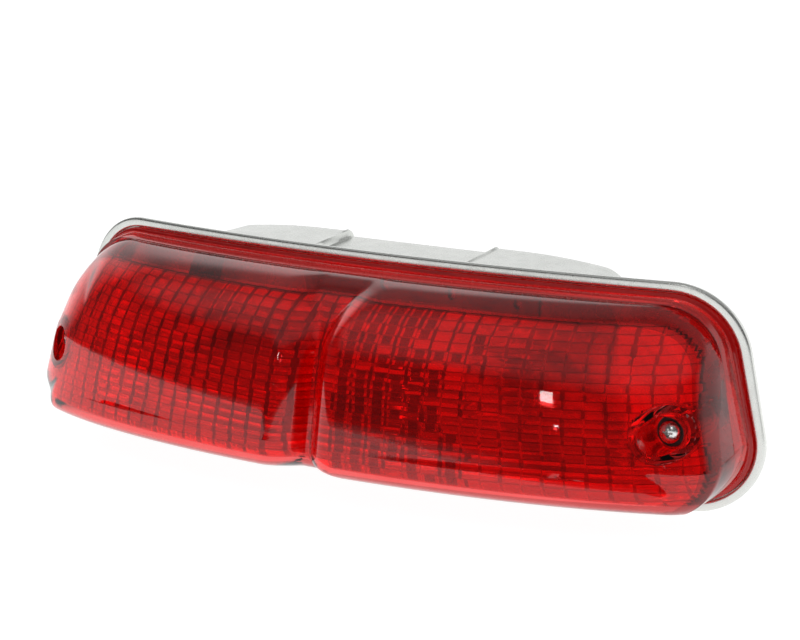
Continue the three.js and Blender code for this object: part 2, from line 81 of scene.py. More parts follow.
class Nodes:
    """A material's node tree with its Principled shader, and short ways to add and link nodes."""

    def __init__(self, name, base, roughness, metallic=0.0, **sockets):
        self.material = bpy.data.materials.new(name)
        self.material.use_nodes = True
        self.tree = self.material.node_tree
        self.shader = self.tree.nodes["Principled BSDF"]
        self.put("Base Color", (*base, 1))
        self.put("Roughness", roughness)
        self.put("Metallic", metallic)
        for key, value in sockets.items():
            self.put(key.replace("_", " ").title().replace("Ior", "IOR"), value)

    def put(self, socket, value):
        self.shader.inputs[socket].default_value = value

    def add(self, kind):
        return self.tree.nodes.new(kind)

    def link(self, source, target):
        self.tree.links.new(source, target)

    def where(self):
        return self.add("ShaderNodeTexCoord").outputs["Object"]

    def noise(self, scale, detail=4.0, stretch=None):
        node = self.add("ShaderNodeTexNoise")
        node.inputs["Scale"].default_value = scale
        node.inputs["Detail"].default_value = detail
        place = self.where()
        if stretch:
            mapping = self.add("ShaderNodeMapping")
            mapping.inputs["Scale"].default_value = stretch
            self.link(place, mapping.inputs["Vector"])
            place = mapping.outputs["Vector"]
        self.link(place, node.inputs["Vector"])
        return node.outputs["Fac"]

    def spread(self, source, low, high, start=0.3, end=0.7):
        node = self.add("ShaderNodeMapRange")
        for key, value in (("From Min", start), ("From Max", end), ("To Min", low), ("To Max", high)):
            node.inputs[key].default_value = value
        self.link(source, node.inputs["Value"])
        return node.outputs["Result"]

    def tint(self, source, first, second, start=0.35, end=0.65):
        ramp = self.add("ShaderNodeValToRGB")
        ramp.color_ramp.elements[0].position = start
        ramp.color_ramp.elements[1].position = end
        ramp.color_ramp.elements[0].color = (*first, 1)
        ramp.color_ramp.elements[1].color = (*second, 1)
        self.link(source, ramp.inputs["Fac"])
        return ramp.outputs["Color"]

    def bump(self, height, strength, distance=0.0002):
        node = self.add("ShaderNodeBump")
        node.inputs["Strength"].default_value = strength
        node.inputs["Distance"].default_value = distance
        self.link(height, node.inputs["Height"])
        self.link(node.outputs["Normal"], self.shader.inputs["Normal"])

    def worn(self, grain, rough_low, rough_high, first, second, bump, stretch=None):
        """Fine grain in the roughness and relief, and broad blotches in the colour."""
        fine = self.noise(grain, 5, stretch)
        broad = self.noise(grain * 0.04, 3)
        self.link(self.spread(fine, rough_low, rough_high), self.shader.inputs["Roughness"])
        self.link(self.tint(broad, first, second), self.shader.inputs["Base Color"])
        self.bump(fine, bump)
        return self.material


def red_plastic(name, tint_a, tint_b, low, high, relief, painted_glow=0.0):
    nodes = Nodes(name, tint_a, low, transmission_weight=1.0, ior=1.49)
    broad = nodes.noise(60, 3)
    fine = nodes.noise(900, 4)
    nodes.link(nodes.tint(broad, tint_a, tint_b), nodes.shader.inputs["Base Color"])
    nodes.link(nodes.spread(fine, low, high), nodes.shader.inputs["Roughness"])
    nodes.bump(nodes.noise(350, 3), relief, 0.0001)
    # The emission is painted light: a red glow in streaks, standing in for light that shines through the
    # plastic from inside.
    nodes.put("Emission Color", (1.0, 0.012, 0.012, 1))
    painted_glow_streaks = nodes.noise(400, 2, (0.04, 1, 0.04))
    nodes.link(nodes.spread(painted_glow_streaks, painted_glow * 0.4, painted_glow * 1.4), nodes.shader.inputs["Emission Strength"])
    return nodes.material


# Two tints, the lowest and highest roughness, the relief, and the strength of a painted glow that stands in
# for light shining through from inside.
RED_PLASTICS = {
    "red_lens": ((0.98, 0.10, 0.10), (0.96, 0.08, 0.08), 0.012, 0.04, 0.03, 0.0),
    # The plain band between the prism field and the rim is a darker red: painted shade.
    "lens_border_painted_shade": ((0.42, 0.03, 0.03), (0.36, 0.025, 0.025), 0.012, 0.04, 0.03, 0.0),
    # The wall and the prism sheet carry a painted glow.
    "lens_wall": ((0.88, 0.03, 0.03), (0.80, 0.02, 0.02), 0.012, 0.04, 0.05, 0.06),
    "red_optics": ((0.97, 0.02, 0.02), (0.93, 0.014, 0.016), 0.05, 0.14, 0.2, 0.09),
    # The prism steps, ridges and turned-away faces are near-black and dark red: painted shade.
    "prism_step_painted_shade": ((0.07, 0.002, 0.002), (0.04, 0.001, 0.001), 0.25, 0.4, 0.3, 0.0),
    "prism_ridge_painted_shade": ((0.35, 0.004, 0.005), (0.22, 0.003, 0.004), 0.25, 0.4, 0.3, 0.0),
    "prism_shade": ((0.14, 0.004, 0.004), (0.08, 0.002, 0.002), 0.2, 0.4, 0.3, 0.0),
}


def make_materials():
    made = {}
    for name, values in RED_PLASTICS.items():
        made[name] = red_plastic(name, *values)
    made["metallised_shell"] = Nodes("metallised_shell", (0.85, 0.87, 0.84), 0.25, 0.9).worn(
        260, 0.24, 0.3, (0.74, 0.76, 0.73), (0.79, 0.805, 0.775), 0.02)
    made["rubber"] = Nodes("rubber", (0.03, 0.03, 0.03), 0.6).worn(
        900, 0.55, 0.8, (0.02, 0.02, 0.021), (0.045, 0.043, 0.04), 0.35)
    # The seal's pale colour is partly a guess at its own colour and partly a painted highlight: it gives the
    # bright line at the joint between lens and lip.
    made["pale_seal"] = Nodes("pale_seal", (0.6, 0.58, 0.55), 0.6).worn(
        900, 0.5, 0.75, (0.55, 0.53, 0.50), (0.68, 0.66, 0.63), 0.3)
    made["bright_steel"] = Nodes("bright_steel", (0.78, 0.78, 0.77), 0.2, 1).worn(
        1500, 0.14, 0.3, (0.70, 0.70, 0.69), (0.84, 0.84, 0.83), 0.15)
    made["zinc_steel"] = Nodes("zinc_steel", (0.6, 0.61, 0.62), 0.35, 1).worn(
        1100, 0.26, 0.5, (0.52, 0.54, 0.56), (0.70, 0.69, 0.63), 0.25)
    made["brass"] = Nodes("brass", (0.66, 0.55, 0.32), 0.3, 1).worn(
        900, 0.22, 0.42, (0.60, 0.47, 0.24), (0.74, 0.66, 0.45), 0.15)
    glass = Nodes("clear_glass", (0.98, 0.99, 0.99), 0.01, transmission_weight=1.0, ior=1.5)
    glass.link(glass.spread(glass.noise(120, 3), 0.0, 0.04), glass.shader.inputs["Roughness"])
    glass.bump(glass.noise(45, 2), 0.12, 0.0004)
    made["clear_glass"] = glass.material
    made["insulating_board"] = Nodes("insulating_board", (0.36, 0.24, 0.14), 0.6).worn(
        600, 0.5, 0.7, (0.30, 0.19, 0.10), (0.42, 0.29, 0.17), 0.3, (1, 6, 1))
    made["tungsten"] = Nodes("tungsten", (0.4, 0.4, 0.42), 0.45, 1).worn(
        2500, 0.35, 0.6, (0.30, 0.30, 0.32), (0.5, 0.5, 0.5), 0.3)
    return made


MATERIALS = make_materials()

# ---- pieces ---------------------------------------------------------------------------
SHARP_ANGLE = math.radians(38)


def mesh_of(name, points, faces, slots=("metallised_shell",), face_slots=None):
    """An unplaced object from points in millimetres, smooth except across sharp edges."""
    data = bpy.data.meshes.new(name)
    data.from_pydata([tuple(p) for p in np.asarray(points, float) * MM], [], [tuple(f) for f in faces])
    for slot in slots:
        data.materials.append(MATERIALS[slot])
    if face_slots is not None:
        data.polygons.foreach_set("material_index", np.asarray(face_slots, dtype=np.int32))
    piece = bpy.data.objects.new(name, data)
    scene.collection.objects.link(piece)
    tidy_mesh(piece)
    return piece


def tidy_mesh(piece):
    work = bmesh.new()
    work.from_mesh(piece.data)
    bmesh.ops.recalc_face_normals(work, faces=work.faces)
    for face in work.faces:
        face.smooth = True
    for edge in work.edges:
        edge.smooth = len(edge.link_faces) == 2 and edge.calc_face_angle(0) < SHARP_ANGLE
    work.to_mesh(piece.data)
    work.free()


def combined(piece, other, operation):
    """piece with other cut from it or joined to it; other is used up."""
    modifier = piece.modifiers.new("combine", "BOOLEAN")
    modifier.operation = operation
    modifier.object = other
    modifier.solver = "MANIFOLD"
    made = bpy.data.meshes.new_from_object(piece.evaluated_get(bpy.context.evaluated_depsgraph_get()))
    piece.modifiers.clear()
    piece.data = made
    bpy.data.objects.remove(other)
    tidy_mesh(piece)
    return piece


def bevelled(piece, width, segments=2):
    modifier = piece.modifiers.new("bevel", "BEVEL")
    modifier.width = width * MM
    modifier.segments = segments
    modifier.limit_method = "ANGLE"
    modifier.angle_limit = SHARP_ANGLE
    modifier.harden_normals = True
    return piece


def stands_for(piece, body, slot, *nodes):
    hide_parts(*nodes)
    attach(piece, body)
    return piece


def turned(name, profile, x=0.0, z=0.0, slot="zinc_steel", sides=72):
    """A closed turned piece about the Y axis at (x, z); profile points are (radius, y) round the section."""
    profile = [(max(r, 0.0), y) for r, y in profile]
    points, rows = [], []
    for r, y in profile:
        if r < 1e-6:
            rows.append([len(points)] * sides)
            points.append((x, y, z))
            continue
        rows.append(list(range(len(points), len(points) + sides)))
        for k in range(sides):
            angle = 2 * math.pi * k / sides
            points.append((x + r * math.cos(angle), y, z + r * math.sin(angle)))
    faces = []
    closed = profile[0] == profile[-1] and profile[0][0] > 1e-6
    if closed:
        points = points[:-sides]
        rows[-1] = rows[0]
    for low, high in zip(rows, rows[1:]):
        for k in range(sides):
            n = (k + 1) % sides
            corners = [low[k], low[n], high[n], high[k]]
            face = list(dict.fromkeys(corners))
            if len(face) > 2:
                faces.append(face)
    return mesh_of(name, points, faces, (slot,))


def rod(name, radius, y0, y1, x=0.0, z=0.0, slot="zinc_steel", sides=72):
    return turned(name, [(0, y0), (radius, y0), (radius, y1), (0, y1)], x, z, slot, sides)


def block(name, x0, x1, y0, y1, z0, z1, slot="zinc_steel"):
    points = [(x, y, z) for x in (x0, x1) for y in (y0, y1) for z in (z0, z1)]
    faces = [(0, 1, 3, 2), (4, 6, 7, 5), (0, 4, 5, 1), (2, 3, 7, 6), (0, 2, 6, 4), (1, 5, 7, 3)]
    return mesh_of(name, points, faces, (slot,))


def threaded(name, radius, y0, y1, x, z, pitch, depth, slot):
    """A rod whose surface is one real helical thread, run out smoothly at both ends."""
    sides, step = 40, pitch / 6
    count = int((y1 - y0) / step)
    points, faces = [(x, y0, z)], []
    for row in range(count + 1):
        y = y0 + (y1 - y0) * row / count
        fade = min(1.0, (y - y0) / pitch, (y1 - y) / pitch)
        for k in range(sides):
            phase = (y / pitch + k / sides) % 1.0
            r = radius - depth * max(fade, 0.0) * abs(2 * phase - 1) - 0.25 * (1 - max(fade, 0.0))
            angle = 2 * math.pi * k / sides
            points.append((x + r * math.cos(angle), y, z + r * math.sin(angle)))
    points.append((x, y1, z))
    for row in range(count):
        for k in range(sides):
            n = (k + 1) % sides
            a, b = 1 + row * sides, 1 + (row + 1) * sides
            faces.append((a + k, a + n, b + n, b + k))
    last = 1 + count * sides
    for k in range(sides):
        n = (k + 1) % sides
        faces.append((0, 1 + n, 1 + k))
        faces.append((len(points) - 1, last + k, last + n))
    return mesh_of(name, points, faces, (slot,))


def wire(name, path, radius, slot, sides=10):
    """A round wire along a list of points, with closed ends."""
    path = [Vector(p) for p in path]
    points, faces = [], []
    for i, here in enumerate(path):
        along = (path[min(i + 1, len(path) - 1)] - path[max(i - 1, 0)]).normalized()
        side = along.orthogonal().normalized() if i == 0 else (side - along * side.dot(along)).normalized()
        other = along.cross(side)
        for k in range(sides):
            angle = 2 * math.pi * k / sides
            points.append(here + radius * (math.cos(angle) * side + math.sin(angle) * other))
    for i in range(len(path) - 1):
        for k in range(sides):
            n = (k + 1) % sides
            faces.append((i * sides + k, i * sides + n, (i + 1) * sides + n, (i + 1) * sides + k))
    faces.append(tuple(range(sides)))
    faces.append(tuple(range((len(path) - 1) * sides, len(path) * sides)))
    return mesh_of(name, points, faces, (slot,))


def coil(radius, turns, y0, y1, x, z, steps):
    """Points along a helix about the Y axis at (x, z)."""
    points = []
    for t in np.linspace(0, 1, steps):
        angle = 2 * math.pi * turns * t
        points.append((x + radius * math.cos(angle), y0 + (y1 - y0) * t, z + radius * math.sin(angle)))
    return points


# ---- outline shared by lens, gasket and housing ---------------------------------------
TOP_HALF, BOTTOM_HALF, HALF_HEIGHT = 124.4, 139.4, 34.0
TOP_R, BOTTOM_R = 23.0, 19.0
FLANGE_Y, FLANGE_SWEEP = -34.0, 0.0019
RIM_INSET, RIM_DROP = 1.5, 1.14
RIM_TOP, RIM_BOTTOM = 10.3, 18.9
FACE_SWEEP, DOME_HEIGHT, CREST = 0.0024, 31.5, -0.57
GROOVE_DEPTH, GROOVE_FLAT, GROOVE_HALF, GROOVE_FLARE = 10.0, 1.2, 13.0, 8.0
FACE_HALF = HALF_HEIGHT - RIM_INSET
CORNER_FALL, CORNER_POWER = 0.5, 5
CREST_LENGTH = 0.75
ARC_STEPS = 26
LONG_STEPS = 190
SIDE_STEPS = 14


def outline(offset, corner_shift=None):
    """Points (x, z) round the rounded trapezoid, widened by offset."""
    shift = offset if corner_shift is None else corner_shift
    top, bottom, half = TOP_HALF + offset, BOTTOM_HALF + offset, HALF_HEIGHT + offset
    corners = [(top, half, TOP_R + shift), (-top, half, TOP_R + shift),
               (-bottom, -half, BOTTOM_R + shift), (bottom, -half, BOTTOM_R + shift)]
    arcs = []
    for i, (x, z, r) in enumerate(corners):
        here = np.array((x, z))
        a = np.array(corners[i - 1][:2]) - here
        b = np.array(corners[(i + 1) % 4][:2]) - here
        a, b = a / np.hypot(*a), b / np.hypot(*b)
        half_angle = math.acos(float(a @ b)) / 2
        middle = (a + b) / np.hypot(*(a + b))
        centre = here + middle * r / math.sin(half_angle)
        start_point = here + a * r / math.tan(half_angle) - centre
        start = math.atan2(start_point[1], start_point[0])
        angles = start + (math.pi - 2 * half_angle) * np.linspace(0, 1, ARC_STEPS + 1)
        arcs.append(centre + r * np.stack([np.cos(angles), np.sin(angles)], 1))
    parts = []
    for i, arc in enumerate(arcs):
        parts.append(arc)
        steps = LONG_STEPS if i % 2 == 0 else SIDE_STEPS
        t = np.linspace(0, 1, steps + 1)[1:-1, None]
        parts.append(arc[-1] + (arcs[(i + 1) % 4][0] - arc[-1]) * t)
    return np.concatenate(parts)


def joint_y(x):
    return FLANGE_Y + FLANGE_SWEEP * x * x / 2


def flange_ring(offset, behind):
    flat = outline(offset)
    return np.stack([flat[:, 0], joint_y(flat[:, 0]) + behind, flat[:, 1]], 1)


def face_y(x, z, shrink=0.0):
    """Front surface of the lens, or a surface shrink millimetres inside it."""
    half = FACE_HALF - shrink
    v = np.clip((z + RIM_DROP) / half, -1, 1)
    reach = (TOP_HALF + BOTTOM_HALF) / 2 - RIM_INSET - shrink + (TOP_HALF - BOTTOM_HALF) / 2 * v
    u = np.clip(np.abs(x) / reach, 0, 1)
    above = np.clip((v - CREST) / (1 - CREST), 0, 1)
    below = np.clip((CREST - v) / (1 + CREST), 0, 1)
    profile = np.where(v > CREST, (1 - above**4) ** 0.567, (1 - below**4.47) ** 0.775)
    ends = np.maximum(1 - u**3.75, 0) ** (0.254 + 0.25 * np.maximum(v, 0))
    into_top = np.clip((v - 0.3) / 0.62, 0, 1)
    into_bottom = np.clip((-0.7 - v) / 0.28, 0, 1)
    flare = GROOVE_FLARE * (into_top**2 + into_bottom**2)
    slot = np.clip(1 - (np.abs(x) - GROOVE_FLAT - flare) / (GROOVE_HALF - GROOVE_FLAT), 0, 1)
    rim = RIM_TOP + (RIM_BOTTOM - RIM_TOP) * (1 - v) / 2
    dome = profile * (DOME_HEIGHT * ends - GROOVE_DEPTH * slot * slot) * corner_fall(x, z, shrink)
    return FLANGE_Y - rim - dome + shrink + FACE_SWEEP * x * x / 2


def corner_fall(x, z, shrink):
    """Brings the dome down to the rim where the rim cuts a corner: 1 away from the corners."""
    z = z + RIM_DROP
    radius = np.where(z > 0, TOP_R, BOTTOM_R) - 1.4 * RIM_INSET - shrink
    lean = (BOTTOM_HALF - TOP_HALF) / (2 * HALF_HEIGHT)
    edge = (TOP_HALF + BOTTOM_HALF) / 2 - RIM_INSET - shrink - lean * z
    into_side = np.clip(1 - (edge - np.abs(x)) / math.hypot(1, lean) / radius, 0, 1)
    into_edge = np.clip(1 - (FACE_HALF - shrink - np.abs(z)) / radius, 0, 1)
    round_in = np.maximum(1 - np.hypot(into_side, into_edge), 0)
    square = (into_side**CORNER_POWER + into_edge**CORNER_POWER) ** (1 / CORNER_POWER)
    square_in = np.maximum(1 - square, 0.001)
    return np.minimum(round_in / square_in, 1) ** CORNER_FALL


def face_rings(shrink, count=44):
    rim = outline(-RIM_INSET - shrink, -1.4 * RIM_INSET - shrink)
    crest = CREST * FACE_HALF
    rings = []
    for k in range(count + 1):
        t = max(math.cos(math.pi / 2 * k / count), 0.0005)
        x = rim[:, 0] * (CREST_LENGTH + (1 - CREST_LENGTH) * t)
        z = crest + (rim[:, 1] - crest) * t - RIM_DROP
        rings.append(np.stack([x, face_y(x, z, shrink), z], 1))
    return rings


def between(first, second, steps):
    """Rings spread evenly between two rings, without the two themselves."""
    return [first + (second - first) * t for t in np.linspace(0, 1, steps + 2)[1:-1]]


def skin(name, rings, slot, loop=False):
    """A closed skin through rings of equal length, flat at both ends unless it is a loop."""
    count = len(rings[0])
    points = np.concatenate(rings)
    faces = []
    for r in range(len(rings) if loop else len(rings) - 1):
        a, b = r * count, (r + 1) % len(rings) * count
        for i in range(count):
            j = (i + 1) % count
            faces.append((a + i, a + j, b + j, b + i))
    if not loop:
        faces.extend(cap(0, count))
        faces.extend(cap((len(rings) - 1) * count, count))
    return mesh_of(name, points, faces, (slot,))


def cap(first, count):
    """Closes a ring by quads from one long side to the other, starting at the middle of the left end."""
    start = 2 * ARC_STEPS + LONG_STEPS + SIDE_STEPS // 2
    faces = []
    for k in range(count // 2):
        corners = (start - k - 1, start - k, start + k, start + k + 1)
        face = tuple(dict.fromkeys(first + c % count for c in corners))
        faces.append(face)
    return faces


# ---- lens -----------------------------------------------------------------------------
SHELL_WALL = 1.5
SCREW_X, SCREW_Z = 119.0, -5.2
RECESS_R, RECESS_DEPTH = 6.0, 10.0
POST_FRONT_Y, POST_BACK_Y, POST_R = -24.0, -5.0, 5.5
SCREW_R, SCREW_TIP_Y = 1.9, -8.0
BOSS_R = 9.0
FIELD_SCALE, FIELD_LOW = 0.9, -29.2


def merged(name, pieces, slot):
    """One object out of several that don't touch."""
    work = bmesh.new()
    for piece in pieces:
        work.from_mesh(piece.data)
        bpy.data.objects.remove(piece)
    data = bpy.data.meshes.new(name)
    work.to_mesh(data)
    work.free()
    data.materials.append(MATERIALS[slot])
    made = bpy.data.objects.new(name, data)
    scene.collection.objects.link(made)
    return made


def both_sides(name, build, slot):
    return merged(name, [build(side) for side in (-1, 1)], slot)


def mouth_y(x):
    return float(face_y(np.float64(x), np.float64(SCREW_Z)))


def inside(polygon, x, z):
    """Whether (x, z) lies in a polygon, by counting crossings."""
    px, pz = polygon[:, 0], polygon[:, 1]
    qx, qz = np.roll(px, -1), np.roll(pz, -1)
    crosses = (pz > z) != (qz > z)
    at = px + (z - pz) / np.where(crosses, qz - pz, 1) * (qx - px)
    return bool(np.sum(crosses & (x < at)) % 2)


def field_outline():
    """Edge of the prism field; the lens is plain between it and the rim."""
    rim = outline(-RIM_INSET, -1.4 * RIM_INSET)
    crest = CREST * FACE_HALF
    x = rim[:, 0] * (CREST_LENGTH + (1 - CREST_LENGTH) * FIELD_SCALE)
    z = crest + (rim[:, 1] - crest) * FIELD_SCALE - RIM_DROP
    return np.stack([x, np.maximum(z, FIELD_LOW)], 1)


def make_lens():
    """The hollow shell with a foot, a boss at each end and the screws' recesses in them."""
    foot = [flange_ring(o, b) for o, b in (
        (-0.15, 1.9), (0, 1.75), (0, -0.4), (-0.1, -0.75), (-0.4, -1.05), (-0.85, -1.15), (-1.05, -1.35),
        (-1.15, -1.8))]
    outer = face_rings(0)
    inner = face_rings(SHELL_WALL)[::-1]
    inner_foot = [flange_ring(-3.4, -2), flange_ring(-3.4, 1.75), flange_ring(-3.2, 1.9)]
    wall = between(foot[-1], outer[0], 10)
    inner_wall = between(inner[-1], inner_foot[0], 6)
    shell = skin("lens_shell", [*inner, *inner_wall, *inner_foot, *foot, *wall, *outer], "red_lens")
    flat_back = np.stack([outline(-1)[:, 0], np.zeros(len(foot[0])), outline(-1)[:, 1]], 1)
    envelope = skin("envelope", [flat_back, foot[-1], *wall, *outer], "red_lens")

    def boss(side):
        x = side * SCREW_X
        floor = mouth_y(x) + RECESS_DEPTH
        return turned("boss", [
            (0, floor - 30), (BOSS_R + 0.6, floor - 30), (BOSS_R, floor - 8), (BOSS_R - 0.4, floor + 1),
            (BOSS_R - 1.4, floor + 2.2), (5.6, floor + 2.6),
            (5.0, POST_FRONT_Y - 0.4), (0, POST_FRONT_Y - 0.4)], x, SCREW_Z, "red_lens")

    def bore(side):
        x = side * SCREW_X
        floor = mouth_y(x) + RECESS_DEPTH
        return turned("bore", [
            (0, floor - 30), (RECESS_R + 0.3, floor - 30), (RECESS_R, floor - 8),
            (RECESS_R - 0.1, floor - 0.5), (RECESS_R - 0.6, floor), (SCREW_R + 0.5, floor),
            (SCREW_R + 0.5, 0), (0, 0)],
            x, SCREW_Z, "red_lens")

    shell.data.materials.append(MATERIALS["lens_border_painted_shade"])
    shell.data.materials.append(MATERIALS["lens_wall"])
    field = field_outline()
    # Plain band faces (slot 1) get a darker red, which is painted shade; wall faces (slot 2) get the wall
    # finish with its painted glow.
    for face in shell.data.polygons:
        x, y, z = face.center / MM
        rim = RIM_TOP + (RIM_BOTTOM - RIM_TOP) * (1 - z / FACE_HALF) / 2
        if y > FLANGE_Y - rim + FACE_SWEEP * x * x / 2 + 0.5:
            face.material_index = 2
        else:
            face.material_index = 0 if inside(field, x, z) else 1
    bosses = combined(both_sides("bosses", boss, "red_lens"), envelope, "INTERSECT")
    shell = combined(shell, bosses, "UNION")
    return combined(shell, both_sides("bores", bore, "lens_wall"), "DIFFERENCE")


# The prisms stand on a thin sheet just inside the shell: CELL_X wide, CELL_Z high, fanned like the outline.
CELL_X, CELL_Z = 6.4, 2.7
COLUMNS, ROWS = 40, 20
FIRST_ROW_Z = -28.6
FAN = 7.5 / 132.5
SHEET_FRONT, SHEET_BACK = 1.62, 2.05
PRISM_TILT, PRISM_CROWN = 0.9, 0.45
IN_X = (0.09, 0.25, 0.42, 0.58, 0.75, 0.91)
JITTER = 0.45
IN_Z = (0.07, 0.35, 0.65, 0.93)

SHADE_FROM, SHADE_TO = 12.0, 62.0
BOSS_CLEARANCE = 0.3


def scattered(column, row):
    """A number from 0 to 1 that looks random and is fixed for each prism."""
    return math.sin(column * 12.9 + row * 78.2) * 43.7 % 1.0


def prism_slot(left, right, below, above, u, x):
    """0 for a clear face, 1 and 2 for steps in dark and lighter painted shade, 3 for a face in painted shade
    where it turns the light away.
    """
    if left != right:
        return 2 if x > SHADE_TO else 1
    if below != above:
        return 2
    shaded = 1.15 - (x - SHADE_FROM) / (SHADE_TO - SHADE_FROM)
    if SHADE_FROM < x < SHADE_TO and 0.15 < u < 0.6 and scattered(left, below) < shaded:
        return 3
    return 0


def make_optics():
    """The sheet of prisms: smooth in front, one sloping and crowned face per prism behind."""
    field = field_outline()

    def fan(z):
        return 1 - FAN * (z + RIM_DROP) / FACE_HALF

    column = np.repeat(np.arange(COLUMNS), len(IN_X))
    row = np.repeat(np.arange(ROWS), len(IN_Z))
    u = np.tile(IN_X, COLUMNS)
    w = np.tile(IN_Z, ROWS)
    z = (FIRST_ROW_Z + (row + w) * CELL_Z)[None, :] + 0 * u[:, None]
    uneven = np.sin(column[:, None] * 12.9898 + row[None, :] * 78.233) * 43758.5453 % 1.0 - 0.5
    x = ((column + u - COLUMNS / 2)[:, None] * CELL_X + uneven * 2 * JITTER) * fan(z)
    outward = np.where(x > 0, u[:, None], 1 - u[:, None])
    relief = PRISM_TILT * outward + PRISM_CROWN * (1 - (2 * w[None, :] - 1) ** 2)
    across, up = x - np.sign(x) * SCREW_X, z - SCREW_Z
    away = np.hypot(across, up)
    edge = BOSS_R + BOSS_CLEARANCE
    push = np.where((away < edge) & (away > BOSS_R - 1.5), edge / away - 1, 0)
    x, z = x + across * push, z + up * push
    front = np.stack([x, face_y(x, z, SHEET_FRONT), z], 2)
    back = np.stack([x, face_y(x, z, SHEET_BACK) + relief, z], 2)
    wide, high = x.shape
    points = np.concatenate([front.reshape(-1, 3), back.reshape(-1, 3)])
    layer = wide * high
    faces, slots = [], []
    used = np.zeros((wide + 1, high + 1), bool)
    for i in range(wide - 1):
        for j in range(high - 1):
            mx, mz = x[i:i + 2, j:j + 2].mean(), z[i:i + 2, j:j + 2].mean()
            boss = math.hypot(abs(mx) - SCREW_X, mz - SCREW_Z) < edge + 0.15
            used[i + 1, j + 1] = inside(field, mx, mz) and not boss
    for i in range(wide - 1):
        for j in range(high - 1):
            if not used[i + 1, j + 1]:
                continue
            a, b, c, d = i * high + j, (i + 1) * high + j, (i + 1) * high + j + 1, i * high + j + 1
            faces.append((a, b, c, d))
            faces.append((layer + d, layer + c, layer + b, layer + a))
            slots += [0, prism_slot(column[i], column[i + 1], row[j], row[j + 1], u[i], x[i, j])]
            # Where the field stops, a wall closes the sheet in the darkest painted shade (slot 1).
            for di, dj, p, q in ((0, -1, a, b), (1, 0, b, c), (0, 1, c, d), (-1, 0, d, a)):
                if not used[i + 1 + di, j + 1 + dj]:
                    faces.append((q, p, layer + p, layer + q))
                    slots.append(1)
    finishes = ("red_optics", "prism_step_painted_shade", "prism_ridge_painted_shade", "prism_shade")
    piece = mesh_of("lens_prisms", points, faces, finishes, slots)
    work = bmesh.new()
    work.from_mesh(piece.data)
    loose = [v for v in work.verts if not v.link_faces]
    bmesh.ops.delete(work, geom=loose, context="VERTS")
    work.to_mesh(piece.data)
    work.free()
    return piece


stands_for(make_lens(), "lens_body", "red_lens", "lens")
stands_for(make_optics(), "lens_body", "red_lens", "lens")

# ---- housing --------------------------------------------------------------------------
HOUSING_WALL = 2.2
LIP = 3.6
BODY_SCALE, BACK_SCALE = 0.7, 0.68
SECTION_HALF = 29.8
BULB_X, STUD_X = 58.0, 34.0
SOCKET_R, STUD_R = 9.0, 3.0
GROMMET_Z, GROMMET_HOLE_R = -19.0, 6.0
REST_PAD = (-13.0, 17.0, -6.0, 11.0)


def chamber_ring(scale, top_front, inset, y):
    """A ring of the bulb chamber: two raised sides, a lower middle, and a rib at each edge of the middle."""
    flat = outline(0)
    px, pz = flat[:, 0], flat[:, 1]
    x = px * scale
    slope = 4 * (np.maximum(np.abs(x) - 40, 0) / 45) ** 2
    lowered = 1.8 * np.clip((SECTION_HALF - np.abs(x)) / 0.9, 0, 1)
    rib = 0.7 * np.clip(1.3 - np.abs(np.abs(x) - SECTION_HALF), 0, 1)
    top = top_front - (slope if top_front > 36 else slope / 3) - lowered + rib
    z = pz * np.where(pz > 0, top, 33.0) / HALF_HEIGHT
    pull = np.hypot(px / BOTTOM_HALF, pz / HALF_HEIGHT)
    y = joint_y(x) + y[0] if isinstance(y, tuple) else np.full(len(x), float(y))
    return np.stack([x - inset * px / BOTTOM_HALF / pull, y, z - inset * pz / HALF_HEIGHT / pull], 1)


def shoulder(first, second, behind, steps):
    """Rings from first to second that keep to the swept joint, from one distance behind it to another."""
    rings = between(first, second, steps)
    for ring, back in zip(rings, np.linspace(*behind, steps + 2)[1:-1]):
        ring[:, 1] = joint_y(ring[:, 0]) + back
    return rings


